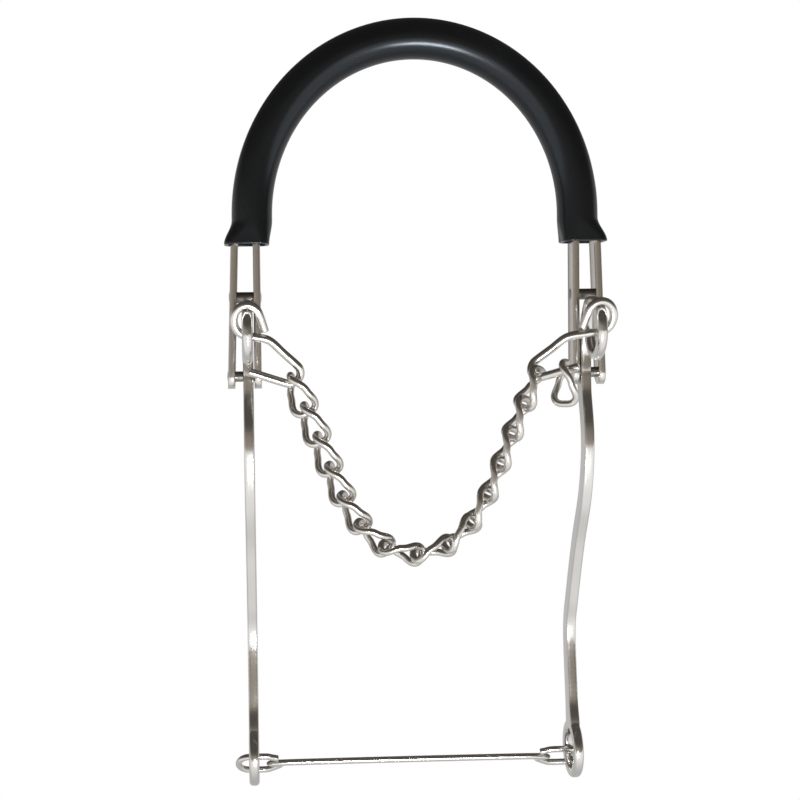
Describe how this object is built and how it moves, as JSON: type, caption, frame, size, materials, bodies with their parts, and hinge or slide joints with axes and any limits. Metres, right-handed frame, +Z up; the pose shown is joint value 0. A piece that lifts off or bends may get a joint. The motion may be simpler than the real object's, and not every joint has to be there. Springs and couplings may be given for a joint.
{
  "type": "hackamore",
  "caption": "Mechanical hackamore with a rubber-covered steel noseband, hinged S-shaped levers with ring ends, a spreader rod and a curb chain on wire hooks",
  "frame": {"origin": "under the crown of the noseband, on the middle of its inner surface", "axes": "+Z up, +X to the viewer's right across the nose, +Y away from the viewer, the way the levers swing back"},
  "size_m": [0.1724, 0.0845, 0.3533],
  "materials": {
    "rubber": "satin",
    "steel": "polished",
    "pin_steel": "satin"
  },
  "bodies": {
    "noseband": {"noseband_rubber": "rubber", "inner_band": "steel", "outer_band": "steel", "rivet_left": "pin_steel", "rivet_right": "pin_steel", "pivot_pin_left": "pin_steel", "pivot_pin_right": "pin_steel"},
    "shank_left": {"shank_left": "steel"},
    "shank_right": {"shank_right": "steel"},
    "spreader": {"spreader": "steel"},
    "hook_left": {"hook_left": "steel"},
    "hook_right": {"hook_right": "steel"},
    "chain": {"chain_link_01": "steel", "chain_link_02": "steel", "chain_link_03": "steel", "chain_link_04": "steel", "chain_link_05": "steel", "chain_link_06": "steel", "chain_link_07": "steel", "chain_link_08": "steel", "chain_link_09": "steel", "chain_link_10": "steel", "chain_link_11": "steel", "chain_link_12": "steel", "chain_link_13": "steel", "chain_link_14": "steel"},
    "spare_link": {"spare_link": "steel"}
  },
  "joints": [
    {"name": "shank_left_pivot", "type": "hinge", "parent": "noseband", "child": "shank_left", "pos_m": [-0.0762, 0, -0.1414], "axis": [1, 0, 0], "range_deg": [-10, 110]},
    {"name": "shank_right_pivot", "type": "hinge", "parent": "noseband", "child": "shank_right", "pos_m": [0.0762, 0, -0.1414], "axis": [1, 0, 0], "range_deg": [-10, 110]},
    {"name": "spreader_swing", "type": "hinge", "parent": "shank_left", "child": "spreader", "pos_m": [-0.0762, 0.026, -0.3214], "axis": [1, 0, 0], "range_deg": [-100, 50]},
    {"name": "hook_left_swing", "type": "hinge", "parent": "shank_left", "child": "hook_left", "pos_m": [-0.0762, -0.0235, -0.1224], "axis": [1, 0, 0], "range_deg": [-15, 45]},
    {"name": "hook_right_swing", "type": "hinge", "parent": "shank_right", "child": "hook_right", "pos_m": [0.0762, -0.0235, -0.1224], "axis": [1, 0, 0], "range_deg": [-15, 45]},
    {"name": "chain_swing", "type": "hinge", "parent": "hook_left", "child": "chain", "pos_m": [-0.0566, -0.02186, -0.14421], "axis": [0.9975, -0.0688, 0.0129], "range_deg": [-18, 18]},
    {"name": "spare_link_swing", "type": "hinge", "parent": "hook_right", "child": "spare_link", "pos_m": [0.05944, -0.03615, -0.14018], "axis": [0.8333, -0.488, 0.2599], "range_deg": [-60, 60]}
  ],
  "couplings": [
    {"joint": "shank_right_pivot", "follows": "shank_left_pivot", "ratio": 1},
    {"joint": "hook_right_swing", "follows": "hook_left_swing", "ratio": 1}
  ]
}
